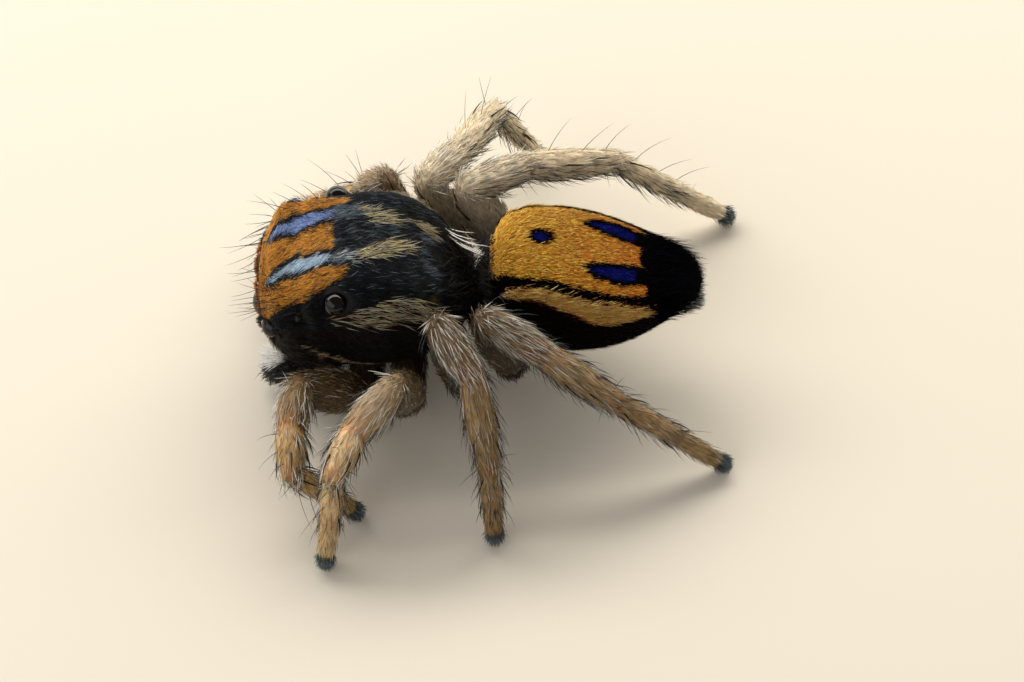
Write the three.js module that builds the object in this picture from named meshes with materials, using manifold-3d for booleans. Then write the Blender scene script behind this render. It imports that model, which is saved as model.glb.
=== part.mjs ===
// A male peacock jumping spider as a still, life-size model, standing on its eight feet.
// Millimetres, +Z up. The head points to -X and the left side to -Y. Each solid includes the depth of its hair.
import * as THREE from "three";
import { mergeVertices } from "three/addons/utils/BufferGeometryUtils.js";
import Module from "manifold-3d";

const manifold = await Module();
manifold.setup();

// ---- Driving dimensions ----
const JOINT_CUT = 0.02; // the thin cut that parts two neighbours
const GROWN = 1.03; // how much larger a body is when it cuts what sits against it

// The front body leans nose down about the point where its rear meets the waist.
const WAIST = new THREE.Vector3(-0.05, 0, 0.9);
const NOSE_DOWN = THREE.MathUtils.degToRad(12);

// Sections across a body: where it lies along X, half its width, the heights of its back and belly,
// and how boxy its back is, where that differs from the rest of the body.
const section = (x, halfWidth, back, belly, backPower) => ({ x, halfWidth, back, belly, backPower });
const PROSOMA = {
  // In the front body's own level frame, from the face to the rear slope.
  sections: [
    section(-2.2, 0.46, 0.86, 0.32, 3),
    section(-2.1, 0.65, 1.04, 0.2, 4),
    section(-1.93, 0.79, 1.22, 0.05, 6.5),
    section(-1.6, 0.82, 1.37, -0.16, 5.4),
    section(-1.25, 0.83, 1.47, -0.23, 3.8),
    section(-0.9, 0.87, 1.49, -0.24),
    section(-0.6, 0.86, 1.42, -0.22),
    section(-0.3, 0.76, 1.24, -0.16),
    section(-0.06, 0.58, 0.96, -0.08),
    section(0.08, 0.36, 0.62, -0.02),
  ],
  margin: 0.2, // the height of the carapace's lower edge, where the section is widest
  front: new THREE.Vector3(-2.22, 0, 0.62),
  rear: new THREE.Vector3(0.13, 0, 0.22),
  backPower: 3.4, // the back is boxy, the belly round
  bellyPower: 2.2,
};
const ABDOMEN = {
  sections: [
    section(0.21, 0.35, 1.69, 1.1),
    section(0.3, 0.55, 1.85, 0.92),
    section(0.52, 0.72, 1.97, 0.7),
    section(0.85, 0.78, 1.98, 0.55),
    section(1.22, 0.78, 1.9, 0.49),
    section(1.6, 0.72, 1.76, 0.53),
    section(1.98, 0.58, 1.6, 0.7),
    section(2.28, 0.4, 1.48, 0.92),
    section(2.47, 0.24, 1.39, 1.07),
  ],
  margin: 1.22,
  front: new THREE.Vector3(0.17, 0, 1.38),
  rear: new THREE.Vector3(2.56, 0, 1.22),
  backPower: 2.7,
  bellyPower: 2.2,
};
const SIDES_ROUND_BODY = 20;

const PEDICEL = { radius: 0.13, from: [-0.1, 0, 1.0], to: [0.45, 0, 1.08] };
const SPINNERETS = { radius: 0.13, from: [2.2, 0, 1.06], to: [2.56, 0, 0.97] };

// Eyes: centre in the front body's frame, on the right side, and radius.
const EYES = {
  anterior_median: { centre: [-2.11, 0.24, 0.7], radius: 0.225 },
  anterior_lateral: { centre: [-2.06, 0.62, 0.715], radius: 0.135 },
  posterior_median: { centre: [-1.66, 0.76, 1.02], radius: 0.055 },
  posterior_lateral: { centre: [-1.24, 0.77, 1.16], radius: 0.135 },
};
const CHELICERA = { from: [-1.95, 0.19, 0.45], to: [-2.06, 0.2, -0.24], radii: [0.19, 0.13] };

// Feelers, in the model's frame, on the right side.
const PALP = {
  root: [-1.6, 0.6, 0.46],
  bend: [-2.0, 0.61, 0.54],
  tip: [-2.14, 0.58, 0.3],
  radii: [0.19, 0.2, 0.19],
};

// Legs: the hips lie in a row along each side. A pose is the place of each joint down the leg.
const HIPS = [
  [-1.2, 0.94, 0.42],
  [-0.66, 1.04, 0.43],
  [-0.13, 0.88, 0.57],
  [0.4, 0.76, 0.7],
];
const COXA = { innerShare: 0.42, gatherShare: 0.86, gatherTo: -0.12, rise: 0.05 }; // they gather to the middle
const RADIUS = { hip: 0.2, thigh: 0.27, knee: 0.23, shank: 0.23, ankle: 0.21, toe: 0.195 };
const THIGH_DEPTH = 1.14; // the thigh is deeper than it is wide
const THIGH_WIDTH = 0.88;
const METATARSUS_SHARE = 0.58; // of the length from ankle to toe
const SOLE_HEIGHT = 0.14; // of the toe's centre above the floor
const POSES = {
  left: [
    { knee: [-1.86, -1.28, 0.92], shin: [-1.95, -1.68, 0.79], ankle: [-1.96, -2.26, 0.71], toe: [-1.26, -2.38] },
    { knee: [-0.84, -1.54, 1.3], shin: [-1.27, -1.93, 1.02], ankle: [-1.47, -2.48, 1.0], toe: [-1.57, -2.98] },
    { knee: [-0.31, -1.1, 1.78], shin: [0.02, -1.62, 1.6], ankle: [0.22, -2.42, 1.05], toe: [0.27, -2.66] },
    { knee: [0.2, -0.98, 1.76], shin: [0.8, -1.2, 1.47], ankle: [1.58, -1.53, 1.07], toe: [2.8, -1.73] },
  ],
  right: [
    { knee: [-1.78, 1.08, 1.0], shin: [-2.0, 1.22, 0.7], ankle: [-2.07, 1.5, 0.34], toe: [-1.22, 1.24] },
    { knee: [-0.95, 1.36, 1.22], shin: [-1.13, 1.62, 0.8], ankle: [-1.2, 1.92, 0.38], toe: [-1.98, 1.86] },
    { knee: [-0.44, 1.1, 1.6], shin: [-0.14, 1.6, 1.5], ankle: [0.26, 2.36, 1.27], toe: [0.74, 2.62] },
    { knee: [0.04, 1.0, 1.58], shin: [0.6, 1.38, 1.47], ankle: [1.62, 1.76, 1.08], toe: [2.92, 1.73] },
  ],
};

// ---- Colours and finishes ----
const finish = (color, roughness) => new THREE.MeshStandardMaterial({ color, roughness, metalness: 0 });
const MATERIALS = {
  carapace: finish("#1b1a1d", 0.55),
  abdomen: finish("#a8671a", 0.5),
  leg: finish("#8a6c4c", 0.7),
  palp: finish("#2a2622", 0.75),
  eye: finish("#060608", 0.05),
  spinneret: finish("#6f7884", 0.6),
};

// ---- Solids from geometry, and back ----
const vector = (p) => (p.isVector3 ? p.clone() : new THREE.Vector3(...p));

function toSolid(geometry) {
  geometry.deleteAttribute("normal");
  geometry.deleteAttribute("uv");
  const merged = mergeVertices(geometry, 1e-5);
  return new manifold.Manifold(
    new manifold.Mesh({
      numProp: 3,
      vertProperties: new Float32Array(merged.attributes.position.array),
      triVerts: new Uint32Array(merged.index.array),
    }),
  );
}

function toGeometry(solid) {
  const mesh = solid.getMesh();
  const positions = new Float32Array(mesh.numVert * 3);
  for (let i = 0; i < mesh.numVert; i++) {
    const start = i * mesh.numProp;
    positions.set(mesh.vertProperties.subarray(start, start + 3), i * 3);
  }
  const geometry = new THREE.BufferGeometry();
  geometry.setAttribute("position", new THREE.BufferAttribute(positions, 3));
  geometry.setIndex(new THREE.BufferAttribute(new Uint32Array(mesh.triVerts), 1));
  const faceted = geometry.toNonIndexed();
  faceted.computeVertexNormals();
  return faceted;
}

// Everything on the far side of a plane, to cut with. The normal points into it.
function beyond(point, normal, size = 12) {
  const slab = new THREE.BoxGeometry(size, size, size);
  slab.translate(0, 0, size / 2);
  slab.applyQuaternion(new THREE.Quaternion().setFromUnitVectors(new THREE.Vector3(0, 0, 1), normal));
  slab.translate(point.x, point.y, point.z);
  return toSolid(slab);
}

// The same shape, a little larger about its own middle, to cut a neighbour with.
function grown(geometry) {
  const larger = geometry.clone();
  larger.computeBoundingBox();
  const middle = larger.boundingBox.getCenter(new THREE.Vector3());
  larger.translate(-middle.x, -middle.y, -middle.z).scale(GROWN, GROWN, GROWN);
  return toSolid(larger.translate(middle.x, middle.y, middle.z));
}

// ---- Bodies lofted through sections ----
// Each ring is half a superellipse above the margin and half another below it.
function ringPoint(body, at, angle) {
  const power = Math.sin(angle) >= 0 ? (at.backPower ?? body.backPower) : body.bellyPower;
  const reach = (value) => Math.sign(value) * Math.abs(value) ** (2 / power);
  const margin = Math.min(Math.max(body.margin, at.belly + 0.2), at.back - 0.2);
  const height = Math.sin(angle) >= 0 ? at.back - margin : margin - at.belly;
  return [at.x, at.halfWidth * reach(Math.cos(angle)), margin + height * reach(Math.sin(angle))];
}

function loft(body) {
  const positions = [];
  for (const at of body.sections)
    for (let i = 0; i < SIDES_ROUND_BODY; i++)
      positions.push(...ringPoint(body, at, (2 * Math.PI * (i + 0.5)) / SIDES_ROUND_BODY));
  const front = positions.length / 3;
  positions.push(...body.front.toArray(), ...body.rear.toArray());
  const last = (body.sections.length - 1) * SIDES_ROUND_BODY;
  const faces = [];
  for (let i = 0; i < SIDES_ROUND_BODY; i++) {
    const next = (i + 1) % SIDES_ROUND_BODY;
    faces.push(front, next, i, front + 1, last + i, last + next);
    for (let ring = 0; ring < last; ring += SIDES_ROUND_BODY) {
      const above = ring + SIDES_ROUND_BODY;
      faces.push(ring + i, ring + next, above + next, ring + i, above + next, above + i);
    }
  }
  const geometry = new THREE.BufferGeometry();
  geometry.setAttribute("position", new THREE.Float32BufferAttribute(positions, 3));
  return geometry.setIndex(faces);
}

// ---- Limbs: round sections turned along a line, with rounded ends ----
const SLANT = Math.SQRT1_2;
const LIMB_SIDES = 10;

// The depth lies in the plane in which the limb bends, and the width lies across it.
function limb(from, to, radii, { depth = 1, width = 1, across = new THREE.Vector3(0, 1, 0) } = {}) {
  const start = vector(from);
  const along = vector(to).sub(start);
  const length = along.length();
  const [first, last] = [radii[0], radii[radii.length - 1]];
  const profile = [new THREE.Vector2(0, -first), new THREE.Vector2(first * SLANT, -first * SLANT)];
  radii.forEach((radius, i) => {
    profile.push(new THREE.Vector2(radius, (length * i) / (radii.length - 1)));
  });
  profile.push(new THREE.Vector2(last * SLANT, length + last * SLANT), new THREE.Vector2(0, length + last));
  const lathe = new THREE.LatheGeometry(profile, LIMB_SIDES);
  const axis = along.normalize();
  const deep = new THREE.Vector3().crossVectors(across, axis).normalize();
  const wide = new THREE.Vector3().crossVectors(axis, deep);
  lathe.scale(width, 1, depth);
  lathe.applyMatrix4(new THREE.Matrix4().makeBasis(wide, axis, deep));
  return toSolid(lathe.translate(start.x, start.y, start.z));
}

// Parts two neighbours at a joint by a thin cut across the bisector of their directions.
function cutApart(before, after, joint, directionIn, directionOut) {
  const normal = directionIn.clone().add(directionOut).normalize();
  const behind = normal.clone().negate();
  return [
    before.subtract(beyond(joint.clone().addScaledVector(normal, -JOINT_CUT / 2), normal)),
    after.subtract(beyond(joint.clone().addScaledVector(normal, JOINT_CUT / 2), behind)),
  ];
}

const between = (a, b, share) => a.clone().lerp(b, share);
const direction = (a, b) => b.clone().sub(a).normalize();

// ---- The group ----
const spider = new THREE.Group();

function add(name, solid, material) {
  const mesh = new THREE.Mesh(toGeometry(solid), material);
  mesh.name = name;
  spider.add(mesh);
}

// ---- Front body, with eye sockets, eyes, jaws and feelers ----
const prosomaFrame = new THREE.Matrix4()
  .makeTranslation(WAIST)
  .multiply(new THREE.Matrix4().makeRotationY(-NOSE_DOWN));
const inProsoma = (p) => vector(p).applyMatrix4(prosomaFrame);
const mirrored = (p, side) => [p[0], p[1] * side, p[2]];
const SIDES = { left: -1, right: 1 };

const prosomaShape = loft(PROSOMA).applyMatrix4(prosomaFrame);
const prosomaCutter = grown(prosomaShape);
let prosoma = toSolid(prosomaShape);

function ball(centre, radius) {
  const sphere = new THREE.SphereGeometry(radius, 12, 8);
  return toSolid(sphere.translate(centre.x, centre.y, centre.z));
}

const eyeballs = {};
for (const [sideName, side] of Object.entries(SIDES)) {
  for (const [row, eye] of Object.entries(EYES)) {
    const centre = inProsoma(mirrored(eye.centre, side));
    eyeballs[`eye_${row}_${sideName}`] = ball(centre, eye.radius);
    prosoma = prosoma.subtract(ball(centre, eye.radius + JOINT_CUT));
  }
}
add("cephalothorax", prosoma, MATERIALS.carapace);
for (const [name, eyeball] of Object.entries(eyeballs)) add(name, eyeball, MATERIALS.eye);

const eyeRoom = Object.values(EYES)
  .slice(0, 2)
  .flatMap((eye) =>
    Object.values(SIDES).map((side) =>
      ball(inProsoma(mirrored(eye.centre, side)), eye.radius + JOINT_CUT),
    ),
  )
  .reduce((all, one) => all.add(one));

for (const [sideName, side] of Object.entries(SIDES)) {
  const [from, to] = [CHELICERA.from, CHELICERA.to].map((p) => inProsoma(mirrored(p, side)));
  const jaw = limb(from, to, CHELICERA.radii).subtract(prosomaCutter).subtract(eyeRoom);
  add(`chelicera_${sideName}`, jaw, MATERIALS.carapace);
  const [root, bend, tip] = [PALP.root, PALP.bend, PALP.tip].map((p) => vector(mirrored(p, side)));
  const [arm, end] = cutApart(
    limb(root, bend, PALP.radii.slice(0, 2)),
    limb(bend, tip, PALP.radii.slice(1)),
    bend,
    direction(root, bend),
    direction(bend, tip),
  );
  add(`palp_${sideName}_arm`, arm.subtract(prosomaCutter), MATERIALS.palp);
  add(`palp_${sideName}_tip`, end.subtract(prosomaCutter).subtract(eyeRoom), MATERIALS.palp);
}

// ---- Waist, abdomen and spinnerets ----
const abdomenShape = loft(ABDOMEN);
const abdomenCutter = grown(abdomenShape);
add("abdomen", toSolid(abdomenShape), MATERIALS.abdomen);
const waist = limb(PEDICEL.from, PEDICEL.to, [PEDICEL.radius, PEDICEL.radius]);
add("pedicel", waist.subtract(prosomaCutter).subtract(abdomenCutter), MATERIALS.carapace);
const spinnerets = limb(SPINNERETS.from, SPINNERETS.to, [SPINNERETS.radius, SPINNERETS.radius * 0.8]);
add("spinnerets", spinnerets.subtract(abdomenCutter), MATERIALS.spinneret);

// ---- Legs ----
const floor = beyond(new THREE.Vector3(0, 0, 0), new THREE.Vector3(0, 0, -1));

function addLeg(sideName, number, pose) {
  const hip = vector(mirrored(HIPS[number], SIDES[sideName]));
  const inner = new THREE.Vector3(
    hip.x * COXA.gatherShare + COXA.gatherTo,
    hip.y * COXA.innerShare,
    hip.z + COXA.rise,
  );
  const [knee, shin, ankle] = [pose.knee, pose.shin, pose.ankle].map(vector);
  const toe = new THREE.Vector3(...pose.toe, SOLE_HEIGHT);
  const metatarsusEnd = between(ankle, toe, METATARSUS_SHARE);

  const across = new THREE.Vector3().crossVectors(knee.clone().sub(hip), ankle.clone().sub(knee)).normalize();
  const thigh = { depth: THIGH_DEPTH, width: THIGH_WIDTH, across };

  const r = RADIUS;
  let coxa = limb(inner, hip, [r.hip, r.hip]);
  let femur = limb(hip, knee, [r.hip, r.thigh, r.thigh, r.knee], thigh);
  let patella = limb(knee, shin, [r.knee, r.shank], { across });
  let tibia = limb(shin, ankle, [r.shank, r.shank, r.ankle], { across });
  const metatarsus = limb(ankle, metatarsusEnd, [r.ankle, r.toe], { across });
  let foot = metatarsus.add(limb(metatarsusEnd, toe, [r.toe, r.toe], { across }));
  const ways = [
    direction(inner, hip),
    direction(hip, knee),
    direction(knee, shin),
    direction(shin, ankle),
    direction(ankle, metatarsusEnd),
  ];
  [coxa, femur] = cutApart(coxa, femur, hip, ways[0], ways[1]);
  [femur, patella] = cutApart(femur, patella, knee, ways[1], ways[2]);
  [patella, tibia] = cutApart(patella, tibia, shin, ways[2], ways[3]);
  [tibia, foot] = cutApart(tibia, foot, ankle, ways[3], ways[4]);
  const name = `leg_${sideName}_${number + 1}`;
  add(`${name}_coxa`, coxa.subtract(prosomaCutter), MATERIALS.leg);
  add(`${name}_femur`, femur.subtract(prosomaCutter).subtract(abdomenCutter), MATERIALS.leg);
  add(`${name}_patella`, patella, MATERIALS.leg);
  add(`${name}_tibia`, tibia, MATERIALS.leg);
  add(`${name}_foot`, foot.subtract(floor), MATERIALS.leg);
}

for (const sideName of Object.keys(SIDES)) {
  POSES[sideName].forEach((pose, number) => addLeg(sideName, number, pose));
}

// The origin is on the floor, under the middle of the whole.
const middle = new THREE.Box3().setFromObject(spider).getCenter(new THREE.Vector3());
spider.position.set(-middle.x, -middle.y, 0);
export default spider;
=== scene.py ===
"""The finish of a male peacock jumping spider: one skin, eyes, claws and a coat of scales and hairs.

Shapes are worked out in millimetres in the model's own frame: the head points to -X, the left side to -Y,
the waist lies over the origin and the floor is at zero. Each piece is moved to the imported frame, in metres,
as it becomes a mesh.
"""
import math

import bpy
import mathutils
import numpy as np
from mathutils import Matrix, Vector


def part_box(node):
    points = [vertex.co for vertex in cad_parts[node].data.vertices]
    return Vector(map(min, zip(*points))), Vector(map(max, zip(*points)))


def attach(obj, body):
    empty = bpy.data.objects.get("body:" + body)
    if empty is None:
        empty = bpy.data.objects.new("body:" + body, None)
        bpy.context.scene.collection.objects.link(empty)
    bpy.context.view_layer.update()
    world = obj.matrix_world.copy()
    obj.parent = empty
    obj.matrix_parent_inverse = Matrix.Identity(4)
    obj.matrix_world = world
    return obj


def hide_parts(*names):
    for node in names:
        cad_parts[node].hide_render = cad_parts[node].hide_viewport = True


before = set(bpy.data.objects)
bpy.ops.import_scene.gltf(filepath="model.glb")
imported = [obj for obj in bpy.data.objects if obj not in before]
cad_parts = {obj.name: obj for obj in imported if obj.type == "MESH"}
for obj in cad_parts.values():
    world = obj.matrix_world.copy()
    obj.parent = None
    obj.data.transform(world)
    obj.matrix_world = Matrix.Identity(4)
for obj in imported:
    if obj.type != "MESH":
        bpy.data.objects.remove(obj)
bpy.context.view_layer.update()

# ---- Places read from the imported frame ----
MM = 0.001
ABDOMEN_TIP = 0.17  # from the model's origin back to the front end of the abdomen
SOLE_HEIGHT = 0.14  # of the middle of a foot's end over the floor
NOSE_DOWN = math.radians(12)  # the front body leans about the point where it meets the waist
WAIST = np.array([-0.05, 0.0, 0.9])
SIDES = {"left": -1, "right": 1}

abdomen_low, abdomen_high = np.array(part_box("abdomen")) / MM
ORIGIN = np.array([abdomen_low[0] - ABDOMEN_TIP, (abdomen_low[1] + abdomen_high[1]) / 2, 0.0])


def unit(vectors):
    """Vectors divided by their lengths."""
    return vectors / np.maximum(np.linalg.norm(vectors, axis=-1, keepdims=True), 1e-12)


def corners(node):
    """The distinct corners of a node's solid, in the model's frame."""
    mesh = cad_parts[node].data
    flat = np.empty(len(mesh.vertices) * 3, np.float32)
    mesh.vertices.foreach_get("co", flat)
    return np.unique(np.round(flat.reshape(-1, 3) / MM - ORIGIN, 4), axis=0)


def meeting(first, second, reach=0.06):
    """The middle of the faces with which two neighbours meet: the corners of each that are near the other."""
    a, b = corners(first), corners(second)
    gaps = np.linalg.norm(a[:, None] - b[None], axis=2)
    return np.vstack([a[gaps.min(axis=1) < reach], b[gaps.min(axis=0) < reach]]).mean(axis=0)


def far_end(node, point, share=0.7):
    """The middle of the corners of a node that lie farthest from a point."""
    found = corners(node)
    away = np.linalg.norm(found - point, axis=1)
    return found[away > share * away.max()].mean(axis=0)


def ball_of(node):
    """The centre and radius of a node that is a ball."""
    low, high = np.array(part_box(node)) / MM - ORIGIN
    return (low + high) / 2, (high - low).max() / 2


LEAN = np.array(
    [
        [math.cos(NOSE_DOWN), 0.0, math.sin(NOSE_DOWN)],
        [0.0, 1.0, 0.0],
        [-math.sin(NOSE_DOWN), 0.0, math.cos(NOSE_DOWN)],
    ]
)


def levelled(points):
    """Points of the model in the front body's own level frame."""
    return (points - WAIST) @ LEAN.T


def leaned(points):
    """Points of the front body's level frame in the model."""
    return points @ LEAN + WAIST


# ---- Surfaces on grids ----
def smooth_through(x, knots, values):
    """A cubic through each value at its knot, whose slope there is that of the values on either side."""
    slopes = np.gradient(values, knots, axis=0)
    i = np.clip(np.searchsorted(knots, x, side="right") - 1, 0, len(knots) - 2)
    step = (knots[i + 1] - knots[i])[:, None]
    t = np.clip((x - knots[i])[:, None] / step, 0, 1)
    start = (1 + 2 * t) * (1 - t) ** 2 * values[i] + t * (1 - t) ** 2 * step * slopes[i]
    end = t * t * (3 - 2 * t) * values[i + 1] + t * t * (t - 1) * step * slopes[i + 1]
    return start + end


class Surface:
    """A closed skin on a grid. Rows run from the first pole to the last, and columns run once round.

    A point's normal is the cross product of its way along the rows and its way round.
    """

    def __init__(self, grid):
        self.grid = grid
        self.along = unit(np.gradient(grid, axis=0))
        around = np.roll(grid, -1, axis=1) - np.roll(grid, 1, axis=1)
        self.normals = unit(np.cross(self.along, around))

    def inset(self, depth):
        """The same surface, sunk along its normals."""
        return Surface(self.grid - self.normals * depth)

    def triangles(self):
        """Its points with a point at each pole, and its faces: two per cell, and a fan round each pole."""
        rows, columns = self.grid.shape[:2]
        index = np.arange(rows * columns).reshape(rows, columns)
        onward = np.roll(index, -1, axis=1)
        a, b, c, d = index[:-1], index[1:], onward[1:], onward[:-1]
        cells = np.stack([a, b, c, a, c, d], axis=-1).reshape(-1, 3)
        first, last = rows * columns, rows * columns + 1
        front = np.stack([np.full(columns, first), index[0], onward[0]], axis=1)
        back = np.stack([np.full(columns, last), onward[-1], index[-1]], axis=1)
        poles = [self.grid[0].mean(axis=0), self.grid[-1].mean(axis=0)]
        return np.vstack([self.grid.reshape(-1, 3), poles]), np.vstack([cells, front, back])


def girth(surface):
    """At each point, the distance over the surface from its row's first column, the shorter way round."""
    steps = np.linalg.norm(np.roll(surface.grid, -1, axis=1) - surface.grid, axis=2)
    onward = np.cumsum(steps, axis=1) - steps
    return np.minimum(onward, steps.sum(axis=1, keepdims=True) - onward)


def margin_of(margin, back, belly):
    """The height at which a section is widest, which keeps clear of its back and belly."""
    return np.minimum(np.maximum(margin, belly + 0.2), back - 0.2)


CAP_TURN = math.radians(60)  # an end is this much of a circle's arc, so that it leans as the body does


def lofted(places, margin, belly_power, ends, into_model=lambda p: p, rows=150, columns=144, cap_rows=24):
    """A body through measured sections, with a dome at each end.

    A section is half a superellipse above its margin and half another below it. Its columns start at the
    top, run down the right side and are spaced evenly along the edge of the middle section.
    """
    knots, shape = places[:, 0], places[:, 1:]
    x = np.linspace(knots[0], knots[-1], rows)
    half, back, belly, back_power = smooth_through(x, knots, shape).T[:, :, None]

    def ring(angle, half, back, belly, back_power):
        level = margin_of(margin, back, belly)
        power = np.where(np.cos(angle) >= 0, back_power, belly_power)
        height = np.where(np.cos(angle) >= 0, back - level, level - belly)
        across, up = np.sin(angle), np.cos(angle)
        y = half * np.sign(across) * np.abs(across) ** (2 / power)
        return y, level + height * np.sign(up) * np.abs(up) ** (2 / power)

    fine = np.linspace(0, 2 * math.pi, 4001)
    middle = rows // 2
    edge = np.stack(ring(fine, half[middle], back[middle], belly[middle], back_power[middle]), axis=1)
    run = np.concatenate([[0], np.cumsum(np.linalg.norm(np.diff(edge, axis=0), axis=1))])
    angle = np.interp(np.arange(columns) / columns * run[-1], run, fine)
    y, z = ring(angle[None], half, back, belly, back_power)
    body = np.stack([np.broadcast_to(x[:, None], y.shape), y, z], axis=2)

    turn = np.linspace(0.02, 1, cap_rows, endpoint=False)[:, None, None] * CAP_TURN

    def dome(rim, pole):
        swell = pole + (rim - pole) * np.sin(turn) / math.sin(CAP_TURN)
        shift = (1 - np.cos(turn[..., 0])) / (1 - math.cos(CAP_TURN))
        swell[..., 0] = pole[0] + (rim[..., 0] - pole[0]) * shift
        return swell

    grid = np.concatenate([dome(body[0][None], ends[0]), body, dome(body[-1][None], ends[1])[::-1]])
    return Surface(into_model(grid))


BACK_POWERS = np.linspace(2, 7, 101)[:, None]  # from a round back to a boxy one


def measured_sections(points, margin, fewest=12):
    """The rings of a lofted solid: each place along X that holds most of a ring's corners.

    Gives the place, half the width, the heights of back and belly, and the power of the superellipse
    that passes closest to the corners above the margin.
    """
    near = np.round(points[:, 0], 2)
    places, counts = np.unique(near, return_counts=True)
    found = []
    for place in places[counts >= fewest]:
        ring = points[near == place]
        half, back, belly = abs(ring[:, 1]).max(), ring[:, 2].max(), ring[:, 2].min()
        level = margin_of(margin, back, belly)
        upper = ring[ring[:, 2] > level + 0.05]
        across, up = abs(upper[:, 1]) / half, (upper[:, 2] - level) / (back - level)
        misfit = abs(across ** BACK_POWERS + up ** BACK_POWERS - 1).sum(axis=1)
        found.append([ring[:, 0].mean(), half, back, belly, BACK_POWERS[misfit.argmin(), 0]])
    return np.array(found)


LIMB_ROWS, LIMB_COLUMNS, LIMB_CAP_ROWS = 40, 28, 7
LIMB_CAP = 0.8  # how far an end reaches out, in its radii


def limb(start, end, radii, across, depth=1.0, width=1.0):
    """One segment of a limb: a straight axis, and a radius that runs smoothly through its values.

    Its section is an ellipse, deep in the plane in which the limb bends and wide across it. Half circles
    close its ends: their radius shrinks as the cosine while they reach out as the sine.
    """
    axis = end - start
    length = np.linalg.norm(axis)
    axis = axis / length
    deep = unit(np.cross(across, axis))
    wide = np.cross(deep, axis)
    t = np.linspace(0, 1, LIMB_ROWS)
    radius = smooth_through(t, np.linspace(0, 1, len(radii)), np.array(radii)[:, None])[:, 0]
    turn = np.linspace(0.98, 0, LIMB_CAP_ROWS, endpoint=False) * math.pi / 2
    run = np.concatenate(
        [
            -LIMB_CAP * radii[0] * np.sin(turn),
            t * length,
            length + LIMB_CAP * radii[-1] * np.sin(turn[::-1]),
        ]
    )
    radius = np.concatenate([radii[0] * np.cos(turn), radius, radii[-1] * np.cos(turn[::-1])])
    angle = np.arange(LIMB_COLUMNS) / LIMB_COLUMNS * 2 * math.pi
    middle = start + run[:, None] * axis
    out = depth * np.cos(angle)[:, None] * deep + width * np.sin(angle)[:, None] * wide
    return Surface(middle[:, None] + radius[:, None, None] * out[None])


def ball(centre, radius, axis, rows=32, columns=48):
    """A ball whose poles lie on an axis: a half circle turned round it."""
    axis = unit(np.asarray(axis, float))
    side = unit(np.cross(axis, [0.0, 0.3, 1.0]))
    up = np.cross(side, axis)
    turn = np.linspace(0.01, math.pi - 0.01, rows)[:, None, None]
    angle = (np.arange(columns) / columns * 2 * math.pi)[None, :, None]
    out = np.cos(angle) * side + np.sin(angle) * up
    return Surface(centre + radius * (-np.cos(turn) * axis + np.sin(turn) * out))


def collar(centre, radius, tube, axis, rows=14, columns=48):
    """A ring round an axis, as the rim of an eye: a circle of the tube's radius carried round it."""
    axis = unit(np.asarray(axis, float))
    side = unit(np.cross(axis, [0.0, 0.3, 1.0]))
    up = np.cross(side, axis)
    turn = (np.arange(rows) / rows * 2 * math.pi)[:, None, None]
    angle = (np.arange(columns) / columns * 2 * math.pi)[None, :, None]
    out = np.cos(angle) * side + np.sin(angle) * up
    return centre + out * (radius + tube * np.cos(turn)) + axis * tube * np.sin(turn)


# ---- Roots ----
PLASTIC = 1.3247179572447460  # its powers spread points evenly over a square


def sow(surface, count, seed, density=None, shake=0.35):
    """Roots spread evenly over a surface, or by a density given on its grid.

    The k-th root is k times the inverse powers of the plastic number, without its whole part, shaken a
    little. This point of the unit square is carried to the surface so that equal parts of the square cover
    equal weights, area times density. The square is therefore an unwrap of the skin that keeps its areas
    where the density is even, and gives more room to what grows more densely.
    """
    grid = surface.grid
    onward = np.roll(grid, -1, axis=1)
    area = np.linalg.norm(np.cross(grid[1:] - onward[:-1], onward[1:] - grid[:-1]), axis=2) / 2
    weight = area if density is None else area * (density[:-1] + density[1:]) / 2
    rows, columns = weight.shape
    by_row = np.maximum(weight.sum(axis=1), 1e-12)
    row_ends = np.cumsum(by_row) / by_row.sum()
    column_ends = np.cumsum(weight + 1e-15, axis=1)
    column_ends /= column_ends[:, -1:]
    random = np.random.default_rng(seed)
    steps = np.arange(count)[:, None] / PLASTIC ** np.array([1, 2])
    square = (0.5 + steps + random.normal(0, shake / math.sqrt(count), (count, 2))) % 1

    row = np.minimum(np.searchsorted(row_ends, square[:, 0]), rows - 1)
    row_start = np.where(row > 0, row_ends[row - 1], 0)
    down = row + (square[:, 0] - row_start) / (row_ends[row] - row_start)
    flat = (column_ends + np.arange(rows)[:, None]).ravel()
    column = np.clip(np.searchsorted(flat, square[:, 1] + row) - row * columns, 0, columns - 1)
    column_start = np.where(column > 0, column_ends[row, column - 1], 0)
    round_ = column + (square[:, 1] - column_start) / (column_ends[row, column] - column_start)
    return Roots(surface, np.minimum(down, rows - 1e-6), round_ % columns, square)


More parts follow.
